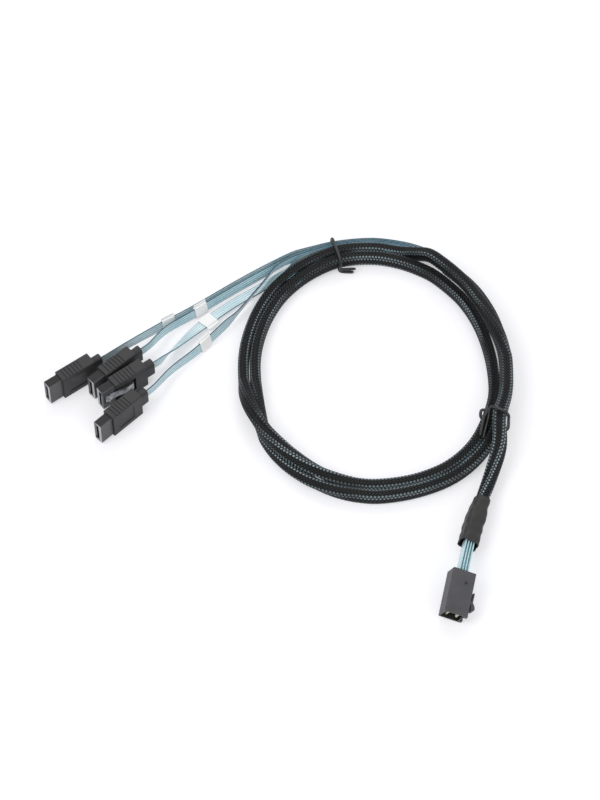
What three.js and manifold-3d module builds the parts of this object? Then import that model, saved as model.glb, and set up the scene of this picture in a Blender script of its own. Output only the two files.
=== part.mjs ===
import * as THREE from "three";
import { mergeVertices } from "three/addons/utils/BufferGeometryUtils.js";
import Module from "manifold-3d";

// A storage breakout cable, coiled and tied: one wide plug, four flat ribbons that run whole through
// a braided sleeve, and a small plug on the end of each ribbon. Millimetres and degrees, +Z up.
// The cable is laid out on a floor at z = 0, and its origin is then set under the middle of its footprint.

const wasm = await Module();
wasm.setup();

// Driving dimensions: fits
const clearance = 0.3; // between pieces that touch each other on the real cable
const laneGap = 0.5; // between neighbouring turns of the sleeve

// Driving dimensions: ribbons, labels, sleeve and heat shrink
const ribbonWidth = 5.6;
const ribbonThickness = 0.7;
const ribbonPitch = 1.1; // from ribbon to ribbon inside the sleeve
const ribbonPitchAtPlug = 1.4;
const sleeveSlackAcross = 0.5; // between the stack of ribbons and the sleeve, over their faces
const sleeveSlackAlong = 0.35; // and past their edges
const sleeveWall = 0.3;
const sleeveCorner = 0.8;
const labelLength = 8;
const labelPaper = 0.25;
const labelTab = 1.8;
const shrinkWall = 0.5;
const shrinkGripScale = 1.0;
const shrinkShoulderScale = 1.18;
const shrinkMouthScale = 1.32;

// Driving dimensions: the coil and its ties
const coilCentre = [38.7, 18.5];
const coilHalfWidth = 64.5;
const coilHalfDepth = 76.2;
const longestStep = 15; // degrees round the coil, from one station to the next
const largestRoll = 7; // degrees of roll from one station to the next, so that nested pieces stay clear
const coilStart = -30; // degrees; the lower tie sits there
const upperTieAt = 105;
const turn = 360;
const rollOver = { from: 188, stacked: 218, to: 262, steps: 10 }; // where one pass rolls over the next
const tieRadius = 0.8;
const tieLift = 0.3; // from the floor to a tie, so that the sleeve and the plugs bear the cable

// Driving dimensions: wide plug
const widePlug = { length: 22.8, width: 11.8, height: 9.6, corner: 0.5, wall: 0.8, rearWall: 4.5 };
const widePlugPlace = { at: [76.8, -108.3], yaw: 257.3, pitch: 9.3, roll: -20.6 };
const card = { thickness: 1.0, width: 6.8, length: 15, spread: 2.55, setBack: 1.4 };
const lever = { bladeStart: 11.6, bladeEnd: 21.8, bladeThickness: 0.7, width: 4.4, hinge: 13.9 };
const leverChannel = { start: 7.6, depth: 1.3 };
const bump = { fromRear: 6.2, aside: 1.4, radius: 1.1, height: 0.25, hole: 0.65, holeDepth: 0.5 };

// Driving dimensions: four narrow plugs, each standing on its narrow edge
const body = { length: 19.5, thickness: 7.4, height: 15.6, corner: 0.6 };
const nose = { length: 7.75, thickness: 5.0, height: 14.1, tail: 4 };
const slot = { width: 1.5, height: 11, depth: 6.2, keyWidth: 1.3, keyReach: 1.2 };
const contact = { count: 7, pitch: 1.27, width: 0.5, length: 4.6, proud: 0.25, inset: 0.8 };
const grip = { count: 6, first: 2.3, pitch: 1.95, width: 0.6, depth: 0.45 };
const panel = { front: 3.6, length: 10.4, height: 9.4, depth: 0.35 };
const collar = { length: 5.5, thickness: 4.8, height: 10.6 };
const latch = { thickness: 0.4, width: 5, front: 6.2, rear: -10.6, lift: 1.9 };
const latchPocket = { rear: -12.2, height: 9.6, floor: 1.7 };
const narrowPlugs = [
  { at: [-122.6, 3.8], yaw: 217.5, flipped: false },
  { at: [-100.9, 7.1], yaw: 223.3, flipped: false },
  { at: [-95.6, 0.3], yaw: 218.5, flipped: true },
  { at: [-96.4, -19.9], yaw: 225.6, flipped: false },
];

// What follows from them
const ribbonCount = narrowPlugs.length;
const stackThickness = (ribbonCount - 1) * ribbonPitch + ribbonThickness;
const sleeveThickness = stackThickness + 2 * (sleeveSlackAcross + sleeveWall);
const sleeveWidth = ribbonWidth + 2 * (sleeveSlackAlong + sleeveWall);
const tieRoom = 2 * tieRadius + clearance + tieLift;
const onEdge = sleeveWidth / 2;
const laidFlat = sleeveThickness / 2;
const onTop = sleeveWidth + laneGap + laidFlat; // a flat pass on top of one that stands on its edge
const pairHalf = (sleeveThickness + laneGap) / 2;
const UP = new THREE.Vector3(0, 0, 1);

const materials = {
  housing: { color: 0x4c4c50, roughness: 0.55, metalness: 0 },
  overmould: { color: 0x37373a, roughness: 0.6, metalness: 0 },
  insulator: { color: 0x4a4a4e, roughness: 0.45, metalness: 0 },
  steel: { color: 0xc9ccd0, roughness: 0.25, metalness: 1 },
  board: { color: 0xcfc39a, roughness: 0.5, metalness: 0.2 },
  braid: { color: 0x1d2226, roughness: 0.75, metalness: 0 },
  ribbon: { color: 0x9fcbd6, roughness: 0.3, metalness: 0 },
  shrink: { color: 0x242323, roughness: 0.6, metalness: 0 },
  tie: { color: 0x161616, roughness: 0.5, metalness: 0 },
  paper: { color: 0xf2f2f0, roughness: 0.8, metalness: 0 },
};

// Solids and outlines

function asSolid(geometry) {
  const plain = geometry.clone();
  plain.deleteAttribute("normal");
  plain.deleteAttribute("uv");
  const merged = mergeVertices(plain, 1e-5);
  return new wasm.Manifold(
    new wasm.Mesh({
      numProp: 3,
      vertProperties: new Float32Array(merged.attributes.position.array),
      triVerts: new Uint32Array(merged.index.array),
    }),
  );
}

function asGeometry(solid) {
  const mesh = solid.getMesh();
  const geometry = new THREE.BufferGeometry();
  geometry.setAttribute("position", new THREE.BufferAttribute(mesh.vertProperties, 3));
  geometry.setIndex(new THREE.BufferAttribute(mesh.triVerts, 1));
  geometry.computeVertexNormals();
  return geometry;
}

function block(x0, x1, y0, y1, z0, z1) {
  const geometry = new THREE.BoxGeometry(x1 - x0, y1 - y0, z1 - z0);
  return asSolid(geometry.translate((x0 + x1) / 2, (y0 + y1) / 2, (z0 + z1) / 2));
}

function joined(solids) {
  return solids.reduce((sum, solid) => sum.add(solid));
}

function cut(solid, tools) {
  return tools.reduce((rest, tool) => rest.subtract(tool), solid);
}

function outline(points) {
  return new THREE.Shape(points.map(([x, y]) => new THREE.Vector2(x, y)));
}

// A rectangle about the origin with round corners, each corner drawn with the given number of steps
function roundedPoints(width, height, radius, steps) {
  const points = [];
  const corners = [[1, 1, 0], [-1, 1, 90], [-1, -1, 180], [1, -1, 270]];
  for (const [sx, sy, from] of corners) {
    for (let i = 0; i <= steps; i += 1) {
      const angle = THREE.MathUtils.degToRad(from + (90 * i) / steps);
      const x = sx * (width / 2 - radius) + radius * Math.cos(angle);
      const y = sy * (height / 2 - radius) + radius * Math.sin(angle);
      points.push([x, y]);
    }
  }
  return points;
}

// An outline in the y-z plane, extruded along x
function barAlongX(shape, x0, x1) {
  const geometry = new THREE.ExtrudeGeometry(shape, { depth: x1 - x0, bevelEnabled: false });
  const turn = new THREE.Matrix4().makeBasis(
    new THREE.Vector3(0, 1, 0),
    new THREE.Vector3(0, 0, 1),
    new THREE.Vector3(1, 0, 0),
  );
  return asSolid(geometry.applyMatrix4(turn).translate(x0, 0, 0));
}

// An outline in the x-y plane, extruded along z
function plateAlongZ(points, z0, z1) {
  const geometry = new THREE.ExtrudeGeometry(outline(points), { depth: z1 - z0, bevelEnabled: false });
  return asSolid(geometry.translate(0, 0, z0));
}

// The outline of a bent strip of one thickness about its centre line
function stripPoints(line, thickness) {
  const sides = [[], []];
  line.forEach(([x, y], i) => {
    const [ax, ay] = line[Math.max(i - 1, 0)];
    const [bx, by] = line[Math.min(i + 1, line.length - 1)];
    const length = Math.hypot(bx - ax, by - ay);
    const nx = (-(by - ay) / length) * (thickness / 2);
    const ny = ((bx - ax) / length) * (thickness / 2);
    sides[0].push([x + nx, y + ny]);
    sides[1].unshift([x - nx, y - ny]);
  });
  return sides[0].concat(sides[1]);
}

function meshOf(name, geometry, look) {
  const mesh = new THREE.Mesh(geometry, new THREE.MeshStandardMaterial(materials[look]));
  mesh.name = name;
  return mesh;
}

// Routes: a station is a point with the axes of the section there, and a route is a curve through stations

class Route extends THREE.Curve {
  constructor(stations) {
    super();
    this.stations = stations;
  }

  getPoint(t, target = new THREE.Vector3()) {
    const reach = t * (this.stations.length - 1);
    const i = Math.min(Math.floor(reach), this.stations.length - 2);
    return target.lerpVectors(this.stations[i].point, this.stations[i + 1].point, reach - i);
  }

  getSpacedPoints() {
    return this.stations.map((station) => station.point.clone());
  }

  computeFrenetFrames() {
    return {
      tangents: this.stations.map((station) => station.tangent.clone()),
      normals: this.stations.map((station) => station.across.clone().multiplyScalar(station.scale)),
      binormals: this.stations.map((station) => station.along.clone().multiplyScalar(station.scale)),
    };
  }
}

// Across runs through the faces of a flat section and along runs between its edges. At a roll of 0 a
// ribbon stands on its edge, and at a positive roll its top leans to the left of the way it runs.
function stationsThrough(places) {
  return places.map(({ point, roll, scale = 1 }, i) => {
    const before = places[Math.max(i - 1, 0)].point;
    const after = places[Math.min(i + 1, places.length - 1)].point;
    const tangent = after.clone().sub(before).normalize();
    const side = new THREE.Vector3().crossVectors(tangent, UP).normalize();
    const up = new THREE.Vector3().crossVectors(side, tangent);
    const angle = THREE.MathUtils.degToRad(roll);
    const across = side.multiplyScalar(Math.cos(angle)).addScaledVector(up, Math.sin(angle));
    const along = new THREE.Vector3().crossVectors(tangent, across);
    return { point, tangent, across, along, scale };
  });
}

function shifted(station, offset) {
  return { ...station, point: station.point.clone().addScaledVector(station.across, offset) };
}

function between(a, b, t) {
  const station = { scale: 1 };
  for (const key of ["point", "tangent", "across", "along"]) station[key] = a[key].clone().lerp(b[key], t);
  return station;
}

function swept(shape, stations) {
  const geometry = new THREE.ExtrudeGeometry(shape, {
    steps: stations.length - 1,
    extrudePath: new Route(stations),
    bevelEnabled: false,
  });
  return asGeometry(asSolid(geometry));
}

function ringShape(outer, inner) {
  const shape = outline(outer);
  shape.holes.push(new THREE.Path(inner.map(([x, y]) => new THREE.Vector2(x, y))));
  return shape;
}

// The coil: a point is given by its azimuth, its offset out from the coil's middle oval and its height

function coilPoint(azimuth, offset, height) {
  const angle = THREE.MathUtils.degToRad(azimuth);
  const c = Math.cos(angle);
  const s = Math.sin(angle);
  const oval = 1 / Math.hypot(c / coilHalfWidth, s / coilHalfDepth);
  return new THREE.Vector3(coilCentre[0] + (oval + offset) * c, coilCentre[1] + (oval + offset) * s, height);
}

// A pass of the sleeve is a list of azimuth, offset, height and roll. The first pass starts on top at the
// lower tie and drops in between the two others; the third ends on the outer edge.
const [OFFSET, HEIGHT, ROLL, PITCH] = [1, 2, 3, 4];
const firstPass = [
  [-30, 4.6, onTop + tieRoom, -90],
  [-22, 4.1, onTop + 1.3, -90],
  [-15, 3.6, onTop + 0.6, -90],
  [0, 2.4, onTop + 0.2, -90],
  [12, 0.8, onTop + 0.7, -56],
  [24, -0.8, onTop + 0.9, -22],
  [34, -1.2, onTop + 0.7, 0],
  [50, -1.2, onTop + 0.6, 0],
  [60, -0.6, onTop + 0.6, 0],
  [66, 0.3, onTop + 0.2, 0],
  [72, 0.6, onEdge + 3.2, 0],
  [78, 0.75, onEdge, 0],
  [90, 0.8, onEdge + 0.5, 0],
  [105, 0.8, onEdge + tieRoom, 0],
  [120, 2.3, onEdge + 0.5, 0],
  [135, 3.1, onEdge, 0],
  [165, 3.3, onEdge, 0],
];
const secondPass = [
  [270, -2.9, onEdge, 180],
  [285, -2.6, onEdge, 180],
  [300, -1.0, onEdge, 180],
  [315, -0.4, onEdge + 0.4, 180],
  [330, -1.2, onEdge + tieRoom, 180],
  [345, -2.3, onEdge + 0.4, 180],
  [360, -4.0, onEdge, 180],
  [372, -4.9, onEdge, 180],
  [384, -5.3, onEdge, 180],
  [405, -5.6, onEdge, 180],
  [420, -5.6, onEdge, 180],
  [426, -5.6, onEdge, 180],
  [438, -5.5, onEdge, 180],
  [450, -5.1, onEdge + 0.5, 180],
  [465, -5.1, onEdge + tieRoom, 180],
  [480, -3.6, onEdge + 0.5, 180],
  [495, -2.8, onEdge, 180],
  [525, -2.6, onEdge, 180],
];
const thirdPass = [
  [630, 3.5, onEdge, 360],
  [645, 3.4, onEdge, 360],
  [660, 5.0, onEdge, 360],
  [675, 5.6, onEdge + 0.4, 360],
  [690, 4.7, onEdge + tieRoom, 360],
  [705, 3.6, onEdge + 0.4, 360],
  [720, 2.6, onEdge, 360],
  [732, 2.7, onEdge, 360],
  [744, 3.0, onEdge, 360],
  [765, 3.3, onEdge, 360],
  [780, 3.6, onEdge, 360],
];
const pairMiddle = [[188, 0.5], [200, 1.5], [218, 2.9], [232, 2.7], [245, 2.1], [262, 0.5]];

// Two passes that lie side by side roll over each other as one pair, and end side by side the other way
// round. The side is 1 for the pass that goes over the top and -1 for the one below it.
function rollingPass(side, turns) {
  const rows = [];
  for (let k = 0; k <= rollOver.steps; k += 1) {
    const t = (2 * k) / rollOver.steps;
    const { from, stacked, to } = rollOver;
    const azimuth = t < 1 ? THREE.MathUtils.lerp(from, stacked, t) : THREE.MathUtils.lerp(stacked, to, t - 1);
    const c = Math.cos((t * Math.PI) / 2);
    const s = Math.sin((t * Math.PI) / 2);
    const rounding = sleeveCorner * (Math.abs(c) + s - 1);
    const pairHeight = (pairHalf + laidFlat) * s + onEdge * Math.abs(c) - rounding;
    const offset = valueAt(pairMiddle, azimuth, OFFSET) + side * pairHalf * c;
    rows.push([azimuth + turn * turns, offset, pairHeight + side * pairHalf * s, 90 * t + 180 * turns]);
  }
  return rows;
}

const passes = [...firstPass, ...rollingPass(1, 0), ...secondPass, ...rollingPass(-1, 1), ...thirdPass];

// The bare ribbons go on from the sleeve's end, on its outer side, to the upper tie and a little past it.
// The last number of a row is the pitch from ribbon to ribbon there.
const pastSleeve = [
  [786, 5.2, onEdge - 0.2, 0, 1.1],
  [792, 5.4, ribbonWidth / 2 + 0.3, 0, 1.0],
  [798, 5.5, ribbonWidth / 2 + 0.2, 0, 0.9],
  [810, 5.5, ribbonWidth / 2 + 0.5, 0, 0.9],
  [825, 5.5, ribbonWidth / 2 + tieRoom, 0, 0.9],
  [832, 7.2, ribbonWidth / 2 + 1.5, 0, 1.1],
  [839, 9.4, ribbonWidth / 2 + 1.2, 0, 1.5],
];

function valueAt(rows, azimuth, column) {
  const next = rows.findIndex((row) => row[0] >= azimuth);
  if (next <= 0) return rows[0][column];
  const [a, b] = [rows[next - 1], rows[next]];
  return THREE.MathUtils.mapLinear(azimuth, a[0], b[0], a[column], b[column]);
}

function stepsBetween(a, b, span) {
  return Math.max(1, Math.ceil(span / longestStep), Math.ceil(Math.abs(b.roll - a.roll) / largestRoll));
}

function coilPlace(rows, azimuth) {
  const [offset, height, roll] = [OFFSET, HEIGHT, ROLL].map((column) => valueAt(rows, azimuth, column));
  return { point: coilPoint(azimuth, offset, height), roll };
}

// The wide plug's place: its lowest corner rests on the floor

const widePlugTurn = new THREE.Euler(
  THREE.MathUtils.degToRad(widePlugPlace.roll),
  THREE.MathUtils.degToRad(widePlugPlace.pitch),
  THREE.MathUtils.degToRad(widePlugPlace.yaw),
  "ZYX",
);
const widePlugGroup = new THREE.Group();
widePlugGroup.name = "wide_plug";
widePlugGroup.rotation.copy(widePlugTurn);
const lowestCorner = Math.min(
  ...[0, 1].flatMap((x) => [-0.5, 0.5].map((y) =>
    new THREE.Vector3(x * widePlug.length, y * widePlug.width, 0).applyEuler(widePlugTurn).z)),
);
widePlugGroup.position.set(...widePlugPlace.at, -lowestCorner);
widePlugGroup.updateMatrixWorld();

function fromWidePlug(x, y, z) {
  return new THREE.Vector3(x, y, z).applyMatrix4(widePlugGroup.matrixWorld);
}

// The lead from the wide plug through the heat shrink to the lower tie
const leadRoll = widePlugPlace.roll;
const ribbonStart = widePlug.rearWall + 0.6;
const plugLead = [
  [ribbonStart, 0, widePlug.height / 2],
  [0, 0, widePlug.height / 2],
  [-4.5, 0, widePlug.height / 2],
].map((p) => ({ point: fromWidePlug(...p), roll: leadRoll }));
const shrinkMouth = 3; // the first place of the lead that lies in the heat shrink
const sleeveStart = 5; // the first place where the ribbons run in the sleeve
const shrinkTop = 8;
const lead = plugLead.concat(
  [
    [82.2, -91.6, 7.6, leadRoll, shrinkMouthScale],
    [83.9, -84.8, 6.6, leadRoll, shrinkMouthScale - 0.08],
    [85.5, -78.4, 6.1, leadRoll, shrinkShoulderScale + 0.06],
    [87.0, -73.6, 5.8, leadRoll, shrinkShoulderScale],
    [88.6, -69.0, 5.6, leadRoll, shrinkShoulderScale - 0.1],
    [90.2, -64.2, 5.5, leadRoll, shrinkGripScale],
    [95.0, -51.2, 6.6, -42, 1],
    [99.9, -35.2, 10.4, -66, 1],
  ].map(([x, y, z, roll, scale]) => ({ point: new THREE.Vector3(x, y, z), roll, grip: scale })),
);

// Places on the smooth line through the given ones, with stepsFor(a, b) of them to each stretch
function smoothed(places, first, stepsFor) {
  const curve = new THREE.CatmullRomCurve3(places.map((place) => place.point), false, "centripetal");
  const fine = [];
  for (let i = first; i < places.length - 1; i += 1) {
    const [a, b] = [places[i], places[i + 1]];
    const steps = stepsFor(a, b);
    for (let k = 1; k <= steps; k += 1) {
      const t = k / steps;
      const point = curve.getPoint((i + t) / (places.length - 1));
      fine.push({ point, roll: THREE.MathUtils.lerp(a.roll, b.roll, t) });
    }
  }
  return fine;
}

function alongLead() {
  const ends = [...lead, coilPlace(passes, coilStart), coilPlace(passes, passes[1][0])];
  const fine = [ends[0], ...smoothed(ends, 0, (a, b) => stepsBetween(a, b, 0))];
  return fine.slice(0, fine.length - 1 - stepsBetween(ends[ends.length - 2], ends[ends.length - 1], 0));
}

function roundCoil() {
  const fine = [coilPlace(passes, coilStart)];
  for (let i = 1; i < passes.length; i += 1) {
    const [from, to] = [passes[i - 1][0], passes[i][0]];
    const steps = stepsBetween(coilPlace(passes, from), coilPlace(passes, to), to - from);
    for (let k = 1; k <= steps; k += 1) {
      fine.push(coilPlace(passes, THREE.MathUtils.lerp(from, to, k / steps)));
    }
  }
  return fine;
}

const bare = pastSleeve.map((row) => coilPlace(pastSleeve, row[0]));
const trunk = stationsThrough([...alongLead(), ...roundCoil(), ...bare]);
const sleeveStations = trunk.slice(sleeveStart, trunk.length - bare.length);

// Sleeve and heat shrink

function makeSleeve() {
  const outer = roundedPoints(sleeveThickness, sleeveWidth, sleeveCorner, 1);
  const wall = 2 * sleeveWall;
  const inner = roundedPoints(sleeveThickness - wall, sleeveWidth - wall, sleeveCorner - sleeveWall, 1);
  return meshOf("braided_sleeve", swept(ringShape(outer, inner), sleeveStations), "braid");
}

function makeShrink() {
  const stations = trunk.slice(shrinkMouth, shrinkTop + 1).map((station, i) => ({
    ...station,
    scale: lead[shrinkMouth + i].grip,
  }));
  const inner = roundedPoints(sleeveThickness + 2 * clearance, sleeveWidth + 2 * clearance, sleeveCorner, 3);
  const wall = 2 * (clearance + shrinkWall);
  const outer = roundedPoints(sleeveThickness + wall, sleeveWidth + wall, sleeveCorner + shrinkWall, 3);
  return meshOf("heat_shrink", swept(ringShape(outer, inner), stations), "shrink");
}

// Ribbons: slots count outwards across the stack, and each ribbon has its own slot and its own last stretch

const slots = [1.5, 0.5, -1.5, -0.5];
const collarLength = body.length + collar.length;
const breakouts = [
  [
    [-18.6, 82.4, 3.5, -12],
    [-33.3, 72.4, 3.3, -12],
    [-57.7, 54.3, 3.4, -12],
    [-72.5, 44.2, 3.8, -12],
    [-88.1, 31.5, 6.0, -4],
  ],
  [
    [-18.6, 79.7, 3.8, -12],
    [-40.0, 64.4, 3.7, -12],
    [-56.0, 52.0, 3.8, -12],
    [-70.0, 40.7, 5.0, -8],
  ],
  [
    [-8.6, 81.6, 3.0, 40],
    [-18.0, 73.4, 1.6, 84],
    [-36.0, 60.0, 1.8, 84],
    [-52.2, 44.9, 2.5, 84],
    [-66.0, 28.0, 4.8, 40],
  ],
  [
    [-6.4, 86.2, 5.4, 6],
    [-12.9, 81.0, 6.3, 12],
    [-21.3, 68.4, 6.4, 18],
    [-32.8, 52.0, 5.2, 10],
    [-38.5, 45.4, 4.4, -14],
    [-53.0, 28.8, 3.9, -14],
    [-66.5, 14.7, 5.2, -6],
  ],
];
const labelPlaces = [4, 3, 4, 6]; // the label sits just before this point of each breakout
const stretchSteps = 2; // stations to each stretch between two points of a breakout

function plugFrame({ at, yaw, flipped }) {
  const group = new THREE.Group();
  group.rotation.set(flipped ? Math.PI : 0, 0, THREE.MathUtils.degToRad(yaw), "ZYX");
  group.position.set(...at, flipped ? body.height : 0);
  group.updateMatrixWorld();
  return group;
}

const plugGroups = narrowPlugs.map(plugFrame);

// Where a ribbon runs after the upper tie: the hand-chosen points, then straight into the collar
function breakoutPlaces(index, from) {
  const route = breakouts[index].map(([x, y, z, roll]) => ({ point: new THREE.Vector3(x, y, z), roll }));
  const plugPlace = plugGroups[index].matrixWorld;
  const into = [6, 0.5, -(collar.length - clearance)].map((back) => ({
    point: new THREE.Vector3(-collarLength - back, 0, body.height / 2).applyMatrix4(plugPlace),
    roll: 0,
  }));
  return smoothed([...from, ...route, ...into], from.length - 1, () => stretchSteps);
}

function ribbonStations(index) {
  const slotNumber = slots[index];
  const lastBare = trunk.length - bare.length;
  const held = trunk.map((station, i) => {
    const toPlug = i < sleeveStart ? (sleeveStart - i) / sleeveStart : 0;
    const inSleeve = THREE.MathUtils.lerp(ribbonPitch, ribbonPitchAtPlug, Math.min(1, toPlug * 2));
    const pitch = i >= lastBare ? pastSleeve[i - lastBare][PITCH] : inSleeve;
    return shifted(station, slotNumber * pitch);
  });
  const from = held.slice(-2).map((station) => ({ point: station.point, roll: 0 }));
  const free = breakoutPlaces(index, from);
  const loose = stationsThrough([...from, ...free]).slice(from.length);
  return { stations: [...held, ...loose], heldCount: held.length };
}

function makeRibbon(index) {
  const { stations, heldCount } = ribbonStations(index);
  const [halfT, halfW] = [ribbonThickness / 2, ribbonWidth / 2];
  const section = outline([[-halfT, -halfW], [halfT, -halfW], [halfT, halfW], [-halfT, halfW]]);
  const ribbon = meshOf(`ribbon_${index + 1}`, swept(section, stations), "ribbon");
  return { ribbon, label: makeLabel(index, stations, heldCount) };
}

// A paper label folded round the ribbon, with its two ends stuck together as a tab above the ribbon's edge
function makeLabel(index, stations, heldCount) {
  const at = heldCount + stretchSteps * (labelPlaces[index] - 1);
  const [a, b] = [stations[at], stations[at + 1]];
  const reach = Math.min(1, labelLength / a.point.distanceTo(b.point));
  const ends = [(1 - reach) / 2 + 0.02, (1 + reach) / 2 - 0.02].map((t) => between(a, b, t));
  const hole = [ribbonThickness / 2 + clearance, ribbonWidth / 2 + clearance];
  const out = hole.map((size) => size + labelPaper);
  const inner = [[-hole[0], -hole[1]], [hole[0], -hole[1]], [hole[0], hole[1]], [-hole[0], hole[1]]];
  const outer = [
    [-out[0], out[1]],
    [out[0], out[1]],
    [out[0], -out[1]],
    [labelPaper, -out[1]],
    [labelPaper, -out[1] - labelTab],
    [-labelPaper, -out[1] - labelTab],
    [-labelPaper, -out[1]],
    [-out[0], -out[1]],
  ];
  return meshOf(`ribbon_label_${index + 1}`, swept(ringShape(outer, inner), ends), "paper");
}

// Ties: a coated wire bent round the bundle, with its two ends side by side

const tieSides = 8;
const tieStandOff = tieRadius + clearance + 0.15; // from the bundle's face to the middle of the wire

function makeTie(name, points, steps) {
  const curve = new THREE.CatmullRomCurve3(points, false, "centripetal");
  const section = [];
  for (let i = 0; i < tieSides; i += 1) {
    const angle = (2 * Math.PI * i) / tieSides;
    section.push([tieRadius * Math.cos(angle), tieRadius * Math.sin(angle)]);
  }
  const sweep = { steps, extrudePath: curve, bevelEnabled: false };
  return meshOf(name, asGeometry(asSolid(new THREE.ExtrudeGeometry(outline(section), sweep))), "tie");
}

const tieFloor = tieRadius + tieLift; // height of a tie's middle where it runs under the bundle

// Round the three passes at the lower tie; its ends lie on top of the two lower ones
function lowerTiePoints() {
  const [topOffset, innerOffset] = [coilStart, coilStart + turn].map((a) => valueAt(passes, a, OFFSET));
  const [topHeight, innerHeight] = [coilStart, coilStart + turn].map((a) => valueAt(passes, a, HEIGHT));
  const left = innerOffset - laidFlat - tieStandOff;
  const right = topOffset + onEdge + tieStandOff + 0.6;
  const roof = topHeight + laidFlat + tieStandOff;
  const shoulder = innerHeight + onEdge + tieStandOff;
  const ring = [
    [left + 3.4, shoulder + 1.6],
    [left + 2.0, shoulder],
    [left, shoulder - 1.9],
    [left, 2.6],
    [left + 1.5, tieFloor + 0.1],
    [innerOffset + 2, tieFloor],
    [right - 1.6, tieFloor + 0.1],
    [right, 2.6],
    [right, topHeight - 1],
    [right - 0.4, roof - 1.6],
    [right - 2.4, roof],
    [topOffset - 2.4, roof],
    [topOffset - onEdge - 1.4, roof - 1.6],
  ].map(([offset, height]) => coilPoint(coilStart, offset, height));
  const legs = [[-2.0, 10.2, 3], [0.9, 9.2, 12]].map(([offset, height, back]) => [
    coilPoint(coilStart - back, offset, height),
    coilPoint(coilStart - back, offset + 2 * tieRadius + 0.4, height),
  ]);
  return [legs[1][0], legs[0][0], ...ring, legs[0][1], legs[1][1]];
}

// Round two passes and the bare ribbons at the upper tie; its ends lie along the inner side of the coil
function upperTiePoints() {
  const bareAt = upperTieAt + 2 * turn;
  const halfStack = ((ribbonCount - 1) * valueAt(pastSleeve, bareAt, PITCH) + ribbonThickness) / 2;
  const outer = valueAt(pastSleeve, bareAt, OFFSET) + halfStack;
  const first = valueAt(passes, upperTieAt, OFFSET);
  const second = valueAt(passes, upperTieAt + turn, OFFSET);
  const left = second - laidFlat - tieStandOff;
  const right = outer + tieStandOff + 0.3;
  const roof = valueAt(passes, upperTieAt, HEIGHT) + onEdge + tieStandOff;
  const lower = valueAt(pastSleeve, bareAt, HEIGHT) + ribbonWidth / 2 + tieStandOff;
  const ring = [
    [left, 3.6],
    [left, roof - 1.9],
    [left + 1.9, roof],
    [first, roof],
    [first + laidFlat - 0.2, roof - 0.5],
    [right - 1.4, lower + 0.2],
    [right, lower - 1.6],
    [right, 3.0],
    [right - 1.5, tieFloor + 0.1],
    [first, tieFloor],
    [second, tieFloor],
    [left + 0.7, tieFloor + 0.1],
  ].map(([offset, height]) => coilPoint(upperTieAt, offset, height));
  const leg = (back, lean, height) => coilPoint(upperTieAt - back, left - lean, height);
  return [leg(7, 1.7, 3.2), leg(1.7, 0.5, 3.2), ...ring, leg(1.7, 0.5, tieFloor), leg(6, 2.1, tieFloor)];
}

// Wide plug: a housing with two cards in its open front and a sprung lever on its side

function makeWideHousing() {
  const { length, width, height, corner, wall, rearWall } = widePlug;
  const middle = height / 2;
  const section = outline(roundedPoints(width, height, corner, 2));
  const shell = barAlongX(section, 0, length).translate([0, 0, middle]);
  const stackAtPlug = (ribbonCount - 1) * ribbonPitchAtPlug + ribbonThickness;
  const halfHole = stackAtPlug / 2 + clearance;
  const [holeLow, holeHigh] = [-1, 1].map((sign) => middle + sign * (ribbonWidth / 2 + clearance));
  const leverHalf = lever.width / 2 + clearance;
  const floor = width / 2 - leverChannel.depth;
  const cavity = block(rearWall, length + 1, -width / 2 + wall, floor - wall, wall, height - wall);
  const rearHole = block(-1, rearWall + 1, -halfHole, halfHole, holeLow, holeHigh);
  const channel = block(leverChannel.start, length + 1, floor, width, middle - leverHalf, middle + leverHalf);
  const seam = block(-1, length + 1, -width, -width / 2 + 0.35, height - 0.9, height - 0.55);
  const bumpMiddle = [bump.fromRear, bump.aside, height + bump.height / 2];
  const ring = new THREE.CylinderGeometry(bump.radius * 0.85, bump.radius, bump.height + 0.02, 16);
  const rim = asSolid(ring.rotateX(Math.PI / 2)).translate(bumpMiddle);
  const drill = new THREE.CylinderGeometry(bump.hole, bump.hole, 2 * bump.holeDepth + bump.height, 12);
  const pit = asSolid(drill.rotateX(Math.PI / 2)).translate(bumpMiddle);
  const solid = cut(shell.add(rim), [cavity, rearHole, channel, seam, pit]);
  return meshOf("sff_housing", asGeometry(solid), "housing");
}

function makeCard(number, side) {
  const y = side * card.spread;
  const end = widePlug.length - card.setBack;
  const half = card.thickness / 2;
  const middle = widePlug.height / 2;
  const bevel = 0.25;
  const points = [
    [end - card.length, y - half],
    [end - 2 * bevel, y - half],
    [end, y - half + bevel],
    [end, y + half - bevel],
    [end - 2 * bevel, y + half],
    [end - card.length, y + half],
  ];
  const solid = plateAlongZ(points, middle - card.width / 2, middle + card.width / 2);
  return meshOf(`paddle_card_${number}`, asGeometry(solid), "board");
}

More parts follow.
